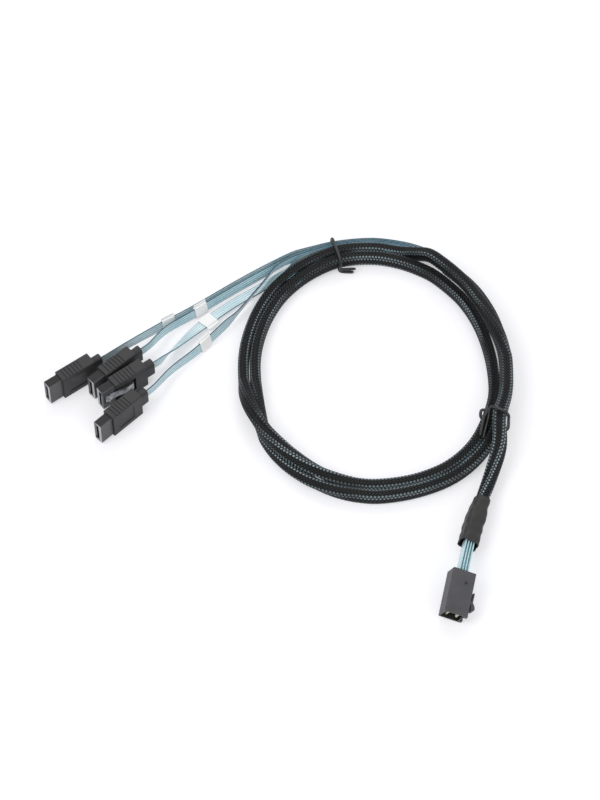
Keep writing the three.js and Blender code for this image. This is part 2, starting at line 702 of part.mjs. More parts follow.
// The lever's blade lies in a channel of the housing; a stem carries a thin rear arm and a thick front pad
function makeLever() {
  const floor = widePlug.width / 2 - leverChannel.depth + clearance;
  const face = floor + lever.bladeThickness;
  const side = widePlug.width / 2;
  const { bladeStart, bladeEnd, hinge } = lever;
  const points = [
    [bladeStart, floor],
    [bladeEnd, floor],
    [bladeEnd, floor + 0.3],
    [bladeEnd - 0.9, side + 0.5],
    [bladeEnd - 1.6, side + 0.5],
    [bladeEnd - 1.9, face],
    [hinge + 0.8, face],
    [hinge + 1.3, side + 1.1],
    [hinge + 3.4, side + 1.3],
    [hinge + 3.9, side + 1.9],
    [hinge + 3.7, side + 3.0],
    [hinge + 2.9, side + 3.5],
    [hinge + 1.2, side + 3.0],
    [hinge - 0.2, side + 1.9],
    [hinge - 4.6, side + 2.0],
    [hinge - 5.2, side + 1.7],
    [hinge - 5.1, side + 1.3],
    [hinge - 0.8, side + 1.1],
    [hinge - 0.7, face],
    [bladeStart, face],
  ];
  const middle = widePlug.height / 2;
  const solid = plateAlongZ(points, middle - lever.width / 2, middle + lever.width / 2);
  return meshOf("sff_release_lever", asGeometry(solid), "housing");
}

// Narrow plugs, in their own frame: +X out of the nose, the latch on the -Y side, standing on z = 0

const noseBottom = (body.height - nose.height) / 2;
const plugMiddle = body.height / 2;
const tailSize = [nose.thickness - 1.2, nose.height - 1.6];

function makeReceptacle(number) {
  const halfT = nose.thickness / 2;
  const shell = barAlongX(outline(roundedPoints(nose.thickness, nose.height, 0.3, 1)), 0, nose.length);
  const front = shell.translate([0, 0, plugMiddle]);
  const [tailT, tailH] = tailSize.map((size) => size / 2);
  const tail = block(-nose.tail, 1, -tailT, tailT, plugMiddle - tailH, plugMiddle + tailH);
  const slotBack = nose.length - slot.depth;
  const slotLow = plugMiddle - slot.height / 2;
  const half = slot.width / 2;
  const groove = block(slotBack, nose.length + 1, -half, half, slotLow, slotLow + slot.height);
  const key = block(slotBack, nose.length + 1, -half - slot.keyReach, half, slotLow, slotLow + slot.keyWidth);
  const [recessLow, recessHigh] = [-1, 1].map((sign) => plugMiddle + sign * (latch.width / 2 + 0.4));
  const recess = block(-1, latch.front + 0.6, -halfT - 1, -latchPocket.floor, recessLow, recessHigh);
  const rows = [];
  for (let i = 0; i < contact.count; i += 1) {
    const z = plugMiddle + (i - (contact.count - 1) / 2) * contact.pitch;
    const x = nose.length - contact.inset;
    const w = contact.width / 2;
    rows.push(block(x - contact.length, x, half - contact.proud, half + 0.1, z - w, z + w));
  }
  const solid = joined([cut(front.add(tail), [groove, key, recess]), ...rows]);
  return meshOf(`sata_${number}_receptacle`, asGeometry(solid), "insulator");
}

function makeOvermould(number) {
  const halfT = body.thickness / 2;
  const section = outline(roundedPoints(body.thickness, body.height, body.corner, 2));
  const core = barAlongX(section, -body.length, 0).translate([0, 0, plugMiddle]);
  const collarCorner = collar.thickness / 2 - 0.2;
  const collarSection = outline(roundedPoints(collar.thickness, collar.height, collarCorner, 4));
  const neck = barAlongX(collarSection, -collarLength, -body.length + 1).translate([0, 0, plugMiddle]);
  const tools = [];
  for (let i = 0; i < grip.count; i += 1) {
    const x = -grip.first - i * grip.pitch;
    tools.push(block(x - grip.width, x, -halfT - 1, halfT + 1, body.height - grip.depth, body.height + 1));
    tools.push(block(x - grip.width, x, -halfT - 1, halfT + 1, -1, grip.depth));
  }
  const panelEnd = -panel.front - panel.length;
  const [low, high] = [plugMiddle - panel.height / 2, plugMiddle + panel.height / 2];
  tools.push(block(panelEnd, -panel.front, halfT - panel.depth, halfT + 1, low, high));
  const [pocketLow, pocketHigh] = [-1, 1].map((sign) => plugMiddle + (sign * latchPocket.height) / 2);
  tools.push(block(latchPocket.rear, 1, -halfT - 1, -latchPocket.floor, pocketLow, pocketHigh));
  const [tailT, tailH] = tailSize.map((size) => size / 2 + clearance);
  tools.push(block(-nose.tail - clearance, 1, -tailT, tailT, plugMiddle - tailH, plugMiddle + tailH));
  const [inT, inW] = [ribbonThickness / 2 + clearance, ribbonWidth / 2 + clearance];
  const pocketEnd = -collarLength + collar.length;
  tools.push(block(-collarLength - 1, pocketEnd, -inT, inT, plugMiddle - inW, plugMiddle + inW));
  return meshOf(`sata_${number}_overmould`, asGeometry(cut(core.add(neck), tools)), "overmould");
}

function makeLatch(number) {
  const start = -latchPocket.floor - 0.35 - latch.thickness / 2;
  const line = [
    [latch.front, start],
    [2.5, start - 0.1],
    [0, start - 0.35],
    [-4, start - 1.1],
    [-7, start - latch.lift],
    [latch.rear + 0.8, start - latch.lift],
    [latch.rear, start - latch.lift + 0.5],
  ];
  const half = latch.width / 2;
  const leaf = plateAlongZ(stripPoints(line, latch.thickness), plugMiddle - half, plugMiddle + half);
  const hookPoints = [
    [latch.front - 1.1, start],
    [latch.front - 2.7, start],
    [latch.front - 2.5, start - 1.2],
  ];
  const hooks = [-1, 1].map((side) => {
    const edge = plugMiddle + side * (half - 0.5);
    return plateAlongZ(hookPoints, edge - 0.45, edge + 0.45);
  });
  return meshOf(`sata_${number}_latch`, asGeometry(joined([leaf, ...hooks])), "steel");
}

// The whole cable

const cable = new THREE.Group();
cable.add(makeSleeve(), makeShrink());
for (let index = 0; index < ribbonCount; index += 1) {
  const { ribbon, label } = makeRibbon(index);
  cable.add(ribbon, label);
}
cable.add(makeTie("lower_tie", lowerTiePoints(), 40), makeTie("upper_tie", upperTiePoints(), 36));
widePlugGroup.add(makeWideHousing(), makeCard(1, -1), makeCard(2, 1), makeLever());
cable.add(widePlugGroup);
plugGroups.forEach((group, index) => {
  const number = index + 1;
  group.name = `narrow_plug_${number}`;
  group.add(makeReceptacle(number), makeOvermould(number), makeLatch(number));
  cable.add(group);
});

const group = new THREE.Group();
group.add(cable);
group.updateMatrixWorld(true);
const footprint = new THREE.Box3().setFromObject(cable, true);
const middle = footprint.getCenter(new THREE.Vector3());
cable.position.set(-middle.x, -middle.y, -footprint.min.z);

export default group;
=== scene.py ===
"""The looks of a coiled storage breakout cable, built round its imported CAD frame.

Lengths are in millimetres while a piece is worked out, and go into Blender in metres. The cable's route is
laid out on a floor at z = 0, and shifted into the row frame by the same amount as its solids.
"""

import math

import bpy
import numpy as np
from mathutils import Matrix, Vector


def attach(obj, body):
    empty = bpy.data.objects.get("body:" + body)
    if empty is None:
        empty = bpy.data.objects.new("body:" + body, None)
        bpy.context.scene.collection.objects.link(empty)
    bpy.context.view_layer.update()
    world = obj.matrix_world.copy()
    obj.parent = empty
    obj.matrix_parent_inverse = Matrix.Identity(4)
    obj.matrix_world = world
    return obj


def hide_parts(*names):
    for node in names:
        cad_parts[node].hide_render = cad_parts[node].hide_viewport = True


MM = 0.001
LAYOUT_SHIFT = np.array([10.610, 15.668, 0.024])
UP = np.array([0.0, 0.0, 1.0])
ROOT = "cable"

# Sizes that the solids have too
RIBBON_WIDTH = 5.6
RIBBON_THICKNESS = 0.7
RIBBON_PITCH = 1.1
RIBBON_PITCH_AT_PLUG = 1.4
SLEEVE_THICKNESS = 5.6
SLEEVE_WIDTH = 6.9
SHRINK_WALL = 0.5
CLEARANCE = 0.3
LANE_GAP = 0.5
TIE_RADIUS = 0.8
TIE_LIFT = 0.3
COIL_CENTRE = (38.7, 18.5)
COIL_HALF_WIDTH = 64.5
COIL_HALF_DEPTH = 76.2
COIL_TURN = 360
COIL_START = -30
UPPER_TIE_AT = 105
LONGEST_STEP = 15
LARGEST_ROLL = 7
WIDE_PLUG = {"length": 22.8, "width": 11.8, "height": 9.6, "wall": 0.75, "rear_wall": 4.5}
WIDE_PLUG_PLACE = {"at": (76.8, -108.3), "yaw": 257.3, "pitch": 9.3, "roll": -20.6}
PLUG_LEAD = (5.1, 0, -4.5)
PLUG_HEIGHT = 15.6
COLLAR_LENGTH = 5.5
BODY_LENGTH = 19.5
NARROW_PLUGS = [
    ((-122.6, 3.8), 217.5, False),
    ((-100.9, 7.1), 223.3, False),
    ((-95.6, 0.3), 218.5, True),
    ((-96.4, -19.9), 225.6, False),
]

ON_EDGE = SLEEVE_WIDTH / 2
LAID_FLAT = SLEEVE_THICKNESS / 2
ON_TOP = SLEEVE_WIDTH + LANE_GAP + LAID_FLAT
TIE_ROOM = 2 * TIE_RADIUS + CLEARANCE + TIE_LIFT
PAIR_HALF = (SLEEVE_THICKNESS + LANE_GAP) / 2
SLEEVE_CORNER = 0.8

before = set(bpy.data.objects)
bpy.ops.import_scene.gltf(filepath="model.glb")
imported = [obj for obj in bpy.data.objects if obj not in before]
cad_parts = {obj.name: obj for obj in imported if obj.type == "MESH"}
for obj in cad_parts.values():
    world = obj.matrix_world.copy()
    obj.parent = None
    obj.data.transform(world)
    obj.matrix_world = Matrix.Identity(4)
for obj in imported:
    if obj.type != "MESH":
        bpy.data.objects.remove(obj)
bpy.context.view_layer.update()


# Camera: it looks down at 55 degrees, from the front

VIEW_ELEVATION = 55
VIEW_DISTANCE = 1238
VIEW_LENS = 108.6


def make_camera():
    camera = bpy.data.cameras.new("camera")
    camera.sensor_width = 36
    camera.lens = VIEW_LENS
    camera.clip_start = 0.05
    camera.clip_end = 20
    seen = bpy.data.objects.new("camera", camera)
    bpy.context.scene.collection.objects.link(seen)
    angle = math.radians(VIEW_ELEVATION)
    target = Vector(LAYOUT_SHIFT * MM)
    back = Vector((0, -math.cos(angle), math.sin(angle)))
    seen.location = target + back * VIEW_DISTANCE * MM
    seen.rotation_euler = (math.radians(90 - VIEW_ELEVATION), 0, 0)
    bpy.context.scene.camera = seen


make_camera()


# The route: passes of azimuth, offset, height and roll, as the solids have them

OFFSET, HEIGHT, ROLL, PITCH = range(1, 5)
FIRST_PASS = [
    (-30, 4.6, ON_TOP + TIE_ROOM, -90),
    (-22, 4.1, ON_TOP + 1.3, -90),
    (-15, 3.6, ON_TOP + 0.6, -90),
    (0, 2.4, ON_TOP + 0.2, -90),
    (12, 0.8, ON_TOP + 0.7, -56),
    (24, -0.8, ON_TOP + 0.9, -22),
    (34, -1.2, ON_TOP + 0.7, 0),
    (50, -1.2, ON_TOP + 0.6, 0),
    (60, -0.6, ON_TOP + 0.6, 0),
    (66, 0.3, ON_TOP + 0.2, 0),
    (72, 0.6, ON_EDGE + 3.2, 0),
    (78, 0.75, ON_EDGE, 0),
    (90, 0.8, ON_EDGE + 0.5, 0),
    (105, 0.8, ON_EDGE + TIE_ROOM, 0),
    (120, 2.3, ON_EDGE + 0.5, 0),
    (135, 3.1, ON_EDGE, 0),
    (165, 3.3, ON_EDGE, 0),
]
SECOND_PASS = [
    (270, -2.9, ON_EDGE, 180),
    (285, -2.6, ON_EDGE, 180),
    (300, -1.0, ON_EDGE, 180),
    (315, -0.4, ON_EDGE + 0.4, 180),
    (330, -1.2, ON_EDGE + TIE_ROOM, 180),
    (345, -2.3, ON_EDGE + 0.4, 180),
    (360, -4.0, ON_EDGE, 180),
    (372, -4.9, ON_EDGE, 180),
    (384, -5.3, ON_EDGE, 180),
    (405, -5.6, ON_EDGE, 180),
    (420, -5.6, ON_EDGE, 180),
    (426, -5.6, ON_EDGE, 180),
    (438, -5.5, ON_EDGE, 180),
    (450, -5.1, ON_EDGE + 0.5, 180),
    (465, -5.1, ON_EDGE + TIE_ROOM, 180),
    (480, -3.6, ON_EDGE + 0.5, 180),
    (495, -2.8, ON_EDGE, 180),
    (525, -2.6, ON_EDGE, 180),
]
THIRD_PASS = [
    (630, 3.5, ON_EDGE, 360),
    (645, 3.4, ON_EDGE, 360),
    (660, 5.0, ON_EDGE, 360),
    (675, 5.6, ON_EDGE + 0.4, 360),
    (690, 4.7, ON_EDGE + TIE_ROOM, 360),
    (705, 3.6, ON_EDGE + 0.4, 360),
    (720, 2.6, ON_EDGE, 360),
    (732, 2.7, ON_EDGE, 360),
    (744, 3.0, ON_EDGE, 360),
    (765, 3.3, ON_EDGE, 360),
    (780, 3.6, ON_EDGE, 360),
]
PAIR_MIDDLE = [(188, 0.5), (200, 1.5), (218, 2.9), (232, 2.7), (245, 2.1), (262, 0.5)]
ROLL_OVER = {"from": 188, "stacked": 218, "to": 262, "steps": 10}
PAST_SLEEVE = [
    (786, 5.2, ON_EDGE - 0.2, 360, 1.1),
    (792, 5.4, RIBBON_WIDTH / 2 + 0.3, 360, 1.0),
    (798, 5.5, RIBBON_WIDTH / 2 + 0.2, 360, 0.9),
    (810, 5.5, RIBBON_WIDTH / 2 + 0.5, 360, 0.9),
    (825, 5.5, RIBBON_WIDTH / 2 + TIE_ROOM, 360, 0.9),
    (832, 7.2, RIBBON_WIDTH / 2 + 1.5, 360, 1.1),
    (839, 9.4, RIBBON_WIDTH / 2 + 1.2, 360, 1.5),
]
LEAD = [
    (82.2, -91.6, 7.6),
    (83.9, -84.8, 6.6),
    (85.5, -78.4, 6.1),
    (87.0, -73.6, 5.8),
    (88.6, -69.0, 5.6),
    (90.2, -64.2, 5.5),
]
LEAD_TO_COIL = [(95.0, -51.2, 6.6, -42), (99.9, -35.2, 10.4, -66)]
SHRINK_MOUTH = 3
SLEEVE_START = 5
SHRINK_TOP = 8
SLOTS = [1.5, 0.5, -1.5, -0.5]
BREAKOUTS = [
    [
        (-18.6, 82.4, 3.5, -12),
        (-33.3, 72.4, 3.3, -12),
        (-57.7, 54.3, 3.4, -12),
        (-72.5, 44.2, 3.8, -12),
        (-88.1, 31.5, 6.0, -4),
    ],
    [
        (-18.6, 79.7, 3.8, -12),
        (-40.0, 64.4, 3.7, -12),
        (-56.0, 52.0, 3.8, -12),
        (-70.0, 40.7, 5.0, -8),
    ],
    [
        (-8.6, 81.6, 3.0, 40),
        (-18.0, 73.4, 1.6, 84),
        (-36.0, 60.0, 1.8, 84),
        (-52.2, 44.9, 2.5, 84),
        (-66.0, 28.0, 4.8, 40),
    ],
    [
        (-6.4, 86.2, 5.4, 6),
        (-12.9, 81.0, 6.3, 12),
        (-21.3, 68.4, 6.4, 18),
        (-32.8, 52.0, 5.2, 10),
        (-38.5, 45.4, 4.4, -14),
        (-53.0, 28.8, 3.9, -14),
        (-66.5, 14.7, 5.2, -6),
    ],
]


def value_at(rows, azimuth, column):
    return float(np.interp(azimuth, [row[0] for row in rows], [row[column] for row in rows]))


def coil_point(azimuth, offset, height):
    c, s = math.cos(math.radians(azimuth)), math.sin(math.radians(azimuth))
    oval = 1 / math.hypot(c / COIL_HALF_WIDTH, s / COIL_HALF_DEPTH)
    return np.array([COIL_CENTRE[0] + (oval + offset) * c, COIL_CENTRE[1] + (oval + offset) * s, height])


def rolling_pass(side, turns):
    """Two passes side by side roll over each other as one pair."""
    rows = []
    for k in range(ROLL_OVER["steps"] + 1):
        t = 2 * k / ROLL_OVER["steps"]
        azimuth = float(np.interp(t, [0, 1, 2], [ROLL_OVER["from"], ROLL_OVER["stacked"], ROLL_OVER["to"]]))
        c, s = math.cos(t * math.pi / 2), math.sin(t * math.pi / 2)
        rounding = SLEEVE_CORNER * (abs(c) + s - 1)
        pair_height = (PAIR_HALF + LAID_FLAT) * s + ON_EDGE * abs(c) - rounding
        offset = value_at(PAIR_MIDDLE, azimuth, 1) + side * PAIR_HALF * c
        height = pair_height + side * PAIR_HALF * s
        rows.append((azimuth + COIL_TURN * turns, offset, height, 90 * t + 180 * turns))
    return rows


PASSES = [*FIRST_PASS, *rolling_pass(1, 0), *SECOND_PASS, *rolling_pass(-1, 1), *THIRD_PASS]


def coil_place(rows, azimuth):
    offset, height, roll = (value_at(rows, azimuth, column) for column in (OFFSET, HEIGHT, ROLL))
    return coil_point(azimuth, offset, height), roll


def steps_between(a, b, span):
    return max(1, math.ceil(span / LONGEST_STEP), math.ceil(abs(b[1] - a[1]) / LARGEST_ROLL))


def centripetal(points, i, t):
    """The centripetal spline through the points, at t of the way from point i to the next."""
    p1, p2 = points[i], points[i + 1]
    p0 = points[i - 1] if i > 0 else 2 * points[0] - points[1]
    p3 = points[i + 2] if i + 2 < len(points) else 2 * points[-1] - points[-2]
    d0, d1, d2 = (max(float(np.linalg.norm(b - a)) ** 0.5, 1e-4) for a, b in ((p0, p1), (p1, p2), (p2, p3)))
    m1 = ((p1 - p0) / d0 - (p2 - p0) / (d0 + d1) + (p2 - p1) / d1) * d1
    m2 = ((p2 - p1) / d1 - (p3 - p1) / (d1 + d2) + (p3 - p2) / d2) * d1
    c2 = -3 * p1 + 3 * p2 - 2 * m1 - m2
    c3 = 2 * p1 - 2 * p2 + m1 + m2
    return p1 + m1 * t + c2 * t * t + c3 * t**3


def smoothed(places, first, steps_for):
    points = [point for point, _ in places]
    fine = []
    for i in range(first, len(places) - 1):
        a, b = places[i], places[i + 1]
        steps = steps_for(a, b)
        for k in range(1, steps + 1):
            t = k / steps
            fine.append((centripetal(points, i, t), a[1] + (b[1] - a[1]) * t))
    return fine


def wide_plug_matrix():
    place = WIDE_PLUG_PLACE
    yaw, pitch, roll = (Matrix.Rotation(math.radians(place[key]), 3, axis)
                        for key, axis in (("yaw", "Z"), ("pitch", "Y"), ("roll", "X")))
    turn = yaw @ pitch @ roll
    corners = [(x * WIDE_PLUG["length"], y * WIDE_PLUG["width"], 0) for x in (0, 1) for y in (-0.5, 0.5)]
    lowest = min((turn @ Vector(corner)).z for corner in corners)
    return Matrix.Translation((*place["at"], -lowest)) @ turn.to_4x4()


WIDE_PLUG_MATRIX = wide_plug_matrix()


def narrow_plug_matrix(at, yaw, flipped):
    turn = Matrix.Rotation(math.radians(yaw), 4, "Z") @ Matrix.Rotation(math.pi if flipped else 0, 4, "X")
    return Matrix.Translation((*at, PLUG_HEIGHT if flipped else 0)) @ turn


PLUG_MATRICES = [narrow_plug_matrix(*plug) for plug in NARROW_PLUGS]


def trunk_places():
    """The places that the solids' stations have: the lead, the coil, then the bare ribbons."""
    lead_roll = WIDE_PLUG_PLACE["roll"]
    middle = WIDE_PLUG["height"] / 2
    places = [(np.array(WIDE_PLUG_MATRIX @ Vector((x, 0, middle))), lead_roll) for x in PLUG_LEAD]
    places += [(np.array(point), lead_roll) for point in LEAD]
    places += [(np.array((x, y, z)), roll) for x, y, z, roll in LEAD_TO_COIL]
    ends = [*places, coil_place(PASSES, COIL_START), coil_place(PASSES, PASSES[1][0])]
    fine = [ends[0], *smoothed(ends, 0, lambda a, b: steps_between(a, b, 0))]
    fine = fine[: len(fine) - 1 - steps_between(ends[-2], ends[-1], 0)]
    fine.append(coil_place(PASSES, COIL_START))
    for row, following in zip(PASSES, PASSES[1:]):
        start, end = row[0], following[0]
        steps = steps_between(coil_place(PASSES, start), coil_place(PASSES, end), end - start)
        fine += [coil_place(PASSES, start + (end - start) * k / steps) for k in range(1, steps + 1)]
    return fine, [coil_place(PAST_SLEEVE, row[0]) for row in PAST_SLEEVE]


def frames_along(points, rolls):
    """The tangent, the way across the flat face and the way along it, at each point."""
    tangent = np.gradient(points, axis=0)
    tangent[1:-1] = points[2:] - points[:-2]
    tangent /= np.linalg.norm(tangent, axis=1)[:, None]
    side = np.cross(tangent, UP)
    side /= np.linalg.norm(side, axis=1)[:, None]
    up = np.cross(side, tangent)
    angle = np.radians(rolls)[:, None]
    across = side * np.cos(angle) + up * np.sin(angle)
    return tangent, across, np.cross(tangent, across)


def finer(places, steps):
    """The places with more of them on the smooth line between each two."""
    return [places[0], *smoothed(places, 0, lambda a, b: steps)]


class Line:
    """A line with a frame at each of its points, read by the distance along it."""

    def __init__(self, points, rolls):
        self.points = np.array(points, float)
        _, self.across, self.along = frames_along(self.points, np.array(rolls, float))
        steps = np.linalg.norm(np.diff(self.points, axis=0), axis=1)
        self.s = np.concatenate([[0], np.cumsum(steps)])
        self.length = float(self.s[-1])

    def read(self, values, s):
        return np.stack([np.interp(s, self.s, values[:, k]) for k in range(3)], axis=-1)

    def at(self, s, x, y):
        """Points at distance s, x across the face and y along it."""
        s, x, y = np.broadcast_arrays(s, x, y)
        place = self.read(self.points, s)
        return place + self.read(self.across, s) * x[..., None] + self.read(self.along, s) * y[..., None]


HELD, BARE = trunk_places()
TRUNK = HELD + BARE
SMOOTH_STEPS = 5


def line_of(places):
    return Line([point for point, _ in places], [roll for _, roll in places])


SLEEVE_LINE = line_of(finer(HELD[SLEEVE_START:], SMOOTH_STEPS))


# Materials


def new_material(name):
    """A new material, its nodes, its links and its shader."""
    material = bpy.data.materials.new(name)
    material.use_nodes = True
    tree = material.node_tree
    return material, tree.nodes, tree.links, tree.nodes["Principled BSDF"]


def linear(hex_colour):
    """A colour as it is written for a screen, as Blender wants it."""
    channels = [int(hex_colour[i:i + 2], 16) / 255 for i in (1, 3, 5)]
    return (*[c / 12.92 if c <= 0.04045 else ((c + 0.055) / 1.055) ** 2.4 for c in channels], 1.0)


def add(nodes, kind, **values):
    node = nodes.new(kind)
    for key, value in values.items():
        if key in node.inputs:
            node.inputs[key].default_value = value
        else:
            setattr(node, key, value)
    return node


def noise(nodes, links, coordinates, scale, detail):
    node = add(nodes, "ShaderNodeTexNoise", Scale=scale, Detail=detail)
    links.new(coordinates.outputs["Object"], node.inputs["Vector"])
    return node


def ramp(nodes, links, source, stops):
    node = nodes.new("ShaderNodeValToRGB")
    elements = node.color_ramp.elements
    while len(elements) < len(stops):
        elements.new(0.5)
    for element, (position, colour) in zip(elements, stops):
        element.position = position
        element.color = linear(colour)
    links.new(source, node.inputs["Fac"])
    return node


def bump(nodes, links, height, shader, strength, distance, before=None):
    node = add(nodes, "ShaderNodeBump", Strength=strength, Distance=distance)
    links.new(height, node.inputs["Height"])
    if before is not None:
        links.new(before.outputs["Normal"], node.inputs["Normal"])
    links.new(node.outputs["Normal"], shader.inputs["Normal"])
    return node


def ranged(nodes, links, source, limits):
    """The output of a node that maps the source to the given limits."""
    node = nodes.new("ShaderNodeMapRange")
    links.new(source, node.inputs["Value"])
    for key, value in limits.items():
        node.inputs[key].default_value = value
    return node.outputs["Result"]


MOULD_GRAIN = 2200.0
MOULD_GRAIN_DEPTH = 0.00004


def moulded(name, dark, light, roughness, grain=MOULD_GRAIN):
    """Moulded plastic: a fine grain, and slow clouds in which its tone and roughness change."""
    material, nodes, links, shader = new_material(name)
    coordinates = nodes.new("ShaderNodeTexCoord")
    clouds = noise(nodes, links, coordinates, 160.0, 4.0)
    tone = ramp(nodes, links, clouds.outputs["Fac"], [(0.3, dark), (0.72, light)])
    links.new(tone.outputs["Color"], shader.inputs["Base Color"])
    grains = noise(nodes, links, coordinates, grain, 2.0)
    bump(nodes, links, grains.outputs["Fac"], shader, 0.5, MOULD_GRAIN_DEPTH)
    wear = {"To Min": roughness - 0.08, "To Max": roughness + 0.1}
    links.new(ranged(nodes, links, clouds.outputs["Fac"], wear), shader.inputs["Roughness"])
    shader.inputs["Specular IOR Level"].default_value = 0.45
    return material


def metal(name, colour, roughness):
    """Rolled sheet, with a light and a dark tone; on the latch steel the dark clouds and bright spots are
    painted reflections and glints.
    """
    material, nodes, links, shader = new_material(name)
    coordinates = nodes.new("ShaderNodeTexCoord")
    rolled_tone_and_painted_glints = noise(nodes, links, coordinates, 300.0, 3.0)
    tone = ramp(nodes, links, rolled_tone_and_painted_glints.outputs["Fac"], [(0.3, colour[0]), (0.75, colour[1])])
    links.new(tone.outputs["Color"], shader.inputs["Base Color"])
    shader.inputs["Metallic"].default_value = 1.0
    shader.inputs["Roughness"].default_value = roughness
    bump(nodes, links, rolled_tone_and_painted_glints.outputs["Fac"], shader, 0.3, 0.00002)
    return material


def maths(nodes, links, operation, first, second=None):
    """The output of one sum, whose inputs are outputs of other nodes or plain numbers."""
    node = add(nodes, "ShaderNodeMath", operation=operation)
    for socket, value in zip(node.inputs, (first, second)):
        if isinstance(value, (int, float)):
            socket.default_value = value
        elif value is not None:
            links.new(value, socket)
    return node.outputs[0]


def mixed(nodes, links, blend, factor, first, second):
    """The colour of two mixed, by a number or by another node's output."""
    node = add(nodes, "ShaderNodeMix", data_type="RGBA", blend_type=blend)
    if isinstance(factor, float):
        node.inputs[0].default_value = factor
    else:
        links.new(factor, node.inputs[0])
    for socket, value in ((node.inputs[6], first), (node.inputs[7], second)):
        if isinstance(value, str):
            socket.default_value = linear(value)
        else:
            links.new(value, socket)
    return node.outputs[2]


def strand_material():
    """Glossy filaments side by side: u runs over a strand, and v is a half at the middle of each float. The
    filaments' edges carry painted shade, and rows of painted glints sit on the floats.
    """
    material, nodes, links, shader = new_material("braid_strands")
    uv = nodes.new("ShaderNodeUVMap")
    split = nodes.new("ShaderNodeSeparateXYZ")
    links.new(uv.outputs["UV"], split.inputs["Vector"])
    waves = maths(nodes, links, "SINE", maths(nodes, links, "MULTIPLY", split.outputs["X"], 3 * math.pi))
    crest = maths(nodes, links, "ABSOLUTE", waves)
    coordinates = nodes.new("ShaderNodeTexCoord")
    flecks = noise(nodes, links, coordinates, 700.0, 2.0)
    places = noise(nodes, links, coordinates, 24.0, 2.0)
    tone = ramp(nodes, links, flecks.outputs["Fac"], [(0.3, "#0b0c0d"), (0.6, "#131618"), (0.78, "#20292d")])
    # Painted shade: the tone is darkened at the edges of each filament, where the filaments meet.
    painted_groove_shade = ramp(nodes, links, crest, [(0.0, "#5c5c5c"), (0.5, "#ffffff")])
    tone_with_groove_shade = mixed(nodes, links, "MULTIPLY", 1.0, tone.outputs["Color"], painted_groove_shade.outputs["Color"])
    # Painted highlights: light dashes in rows along the floats, strong in some places and faint in others,
    # stand in for glints off the strands.
    along = maths(nodes, links, "FRACT", maths(nodes, links, "MULTIPLY", split.outputs["Y"], 0.5))
    painted_glint_stops = [(0.17, "#000000"), (0.24, "#ffffff"), (0.27, "#ffffff"), (0.33, "#000000")]
    painted_glint = ramp(nodes, links, along, painted_glint_stops)
    painted_glint_strength = ramp(nodes, links, places.outputs["Fac"], [(0.4, "#484848"), (0.6, "#f2f2f2")])
    share = maths(nodes, links, "MULTIPLY", painted_glint.outputs["Color"], painted_glint_strength.outputs["Color"])
    links.new(mixed(nodes, links, "MIX", share, tone_with_groove_shade, "#a3b4ba"), shader.inputs["Base Color"])
    shader.inputs["Roughness"].default_value = 0.36
    shader.inputs["Specular IOR Level"].default_value = 0.28
    bump(nodes, links, crest, shader, 0.6, 0.00008)
    return material


def painted_shade_core_material():
    """What shows between the strands: the teal edges of the ribbons, painted dark as the shade inside the
    sleeve.
    """
    material, nodes, links, shader = new_material("sleeve_core")
    coordinates = nodes.new("ShaderNodeTexCoord")
    lines = noise(nodes, links, coordinates, 480.0, 2.0)
    tone = ramp(nodes, links, lines.outputs["Fac"], [(0.35, "#0b1113"), (0.6, "#1a2b30"), (0.75, "#4b7784")])
    links.new(tone.outputs["Color"], shader.inputs["Base Color"])
    shader.inputs["Roughness"].default_value = 0.4
    return material


def ribbon_material(name, stops):
    """A clear ribbon with its wires in it. The stops are its colours over u, which crosses the flat face."""
    material, nodes, links, shader = new_material(name)
    uv = nodes.new("ShaderNodeUVMap")
    split = nodes.new("ShaderNodeSeparateXYZ")
    links.new(uv.outputs["UV"], split.inputs["Vector"])
    stripes = ramp(nodes, links, split.outputs["X"], stops)
    coordinates = nodes.new("ShaderNodeTexCoord")
    clouds = noise(nodes, links, coordinates, 70.0, 3.0)
    shade = ramp(nodes, links, clouds.outputs["Fac"], [(0.3, "#dfe8ec"), (0.7, "#ffffff")])
    colour = mixed(nodes, links, "MULTIPLY", 1.0, stripes.outputs["Color"], shade.outputs["Color"])
    links.new(colour, shader.inputs["Base Color"])
    shader.inputs["Roughness"].default_value = 0.22
    shader.inputs["Specular IOR Level"].default_value = 0.6
    ripple = noise(nodes, links, coordinates, 260.0, 2.0)
    bump(nodes, links, ripple.outputs["Fac"], shader, 0.25, 0.00008)
    return material


def ribbon_stops(face, line, edge, wires):
    """Colours over the ribbon's width: one at both edges, and a line between each two wires."""
    stops = [(0.0, edge), (0.04, edge), (0.07, face)]
    for k in range(1, wires):
        middle = k / wires
        stops += [(middle - 0.04, face), (middle - 0.01, line), (middle + 0.01, line), (middle + 0.04, face)]
    return stops + [(0.93, face), (0.96, edge)]


def rubbery(name, dark, light, roughness, scale, depth):
    """A soft skin with clouds of tone, bumps of the same size and finer ones on them."""
    material, nodes, links, shader = new_material(name)
    coordinates = nodes.new("ShaderNodeTexCoord")
    clouds = noise(nodes, links, coordinates, scale, 5.0)
    tone = ramp(nodes, links, clouds.outputs["Fac"], [(0.3, dark), (0.7, light)])
    links.new(tone.outputs["Color"], shader.inputs["Base Color"])
    shader.inputs["Roughness"].default_value = roughness
    fine = noise(nodes, links, coordinates, scale * 6, 3.0)
    first = bump(nodes, links, clouds.outputs["Fac"], shader, 0.5, depth)
    bump(nodes, links, fine.outputs["Fac"], shader, 0.4, depth / 6, first)
    return material


def paper_material():
    material, nodes, links, shader = new_material("label_paper")
    coordinates = nodes.new("ShaderNodeTexCoord")
    fibres = noise(nodes, links, coordinates, 1400.0, 4.0)
    tone = ramp(nodes, links, fibres.outputs["Fac"], [(0.3, "#f7f7f6"), (0.7, "#ffffff")])
    links.new(tone.outputs["Color"], shader.inputs["Base Color"])
    shader.inputs["Roughness"].default_value = 0.7
    bump(nodes, links, fibres.outputs["Fac"], shader, 0.3, 0.00003)
    return material


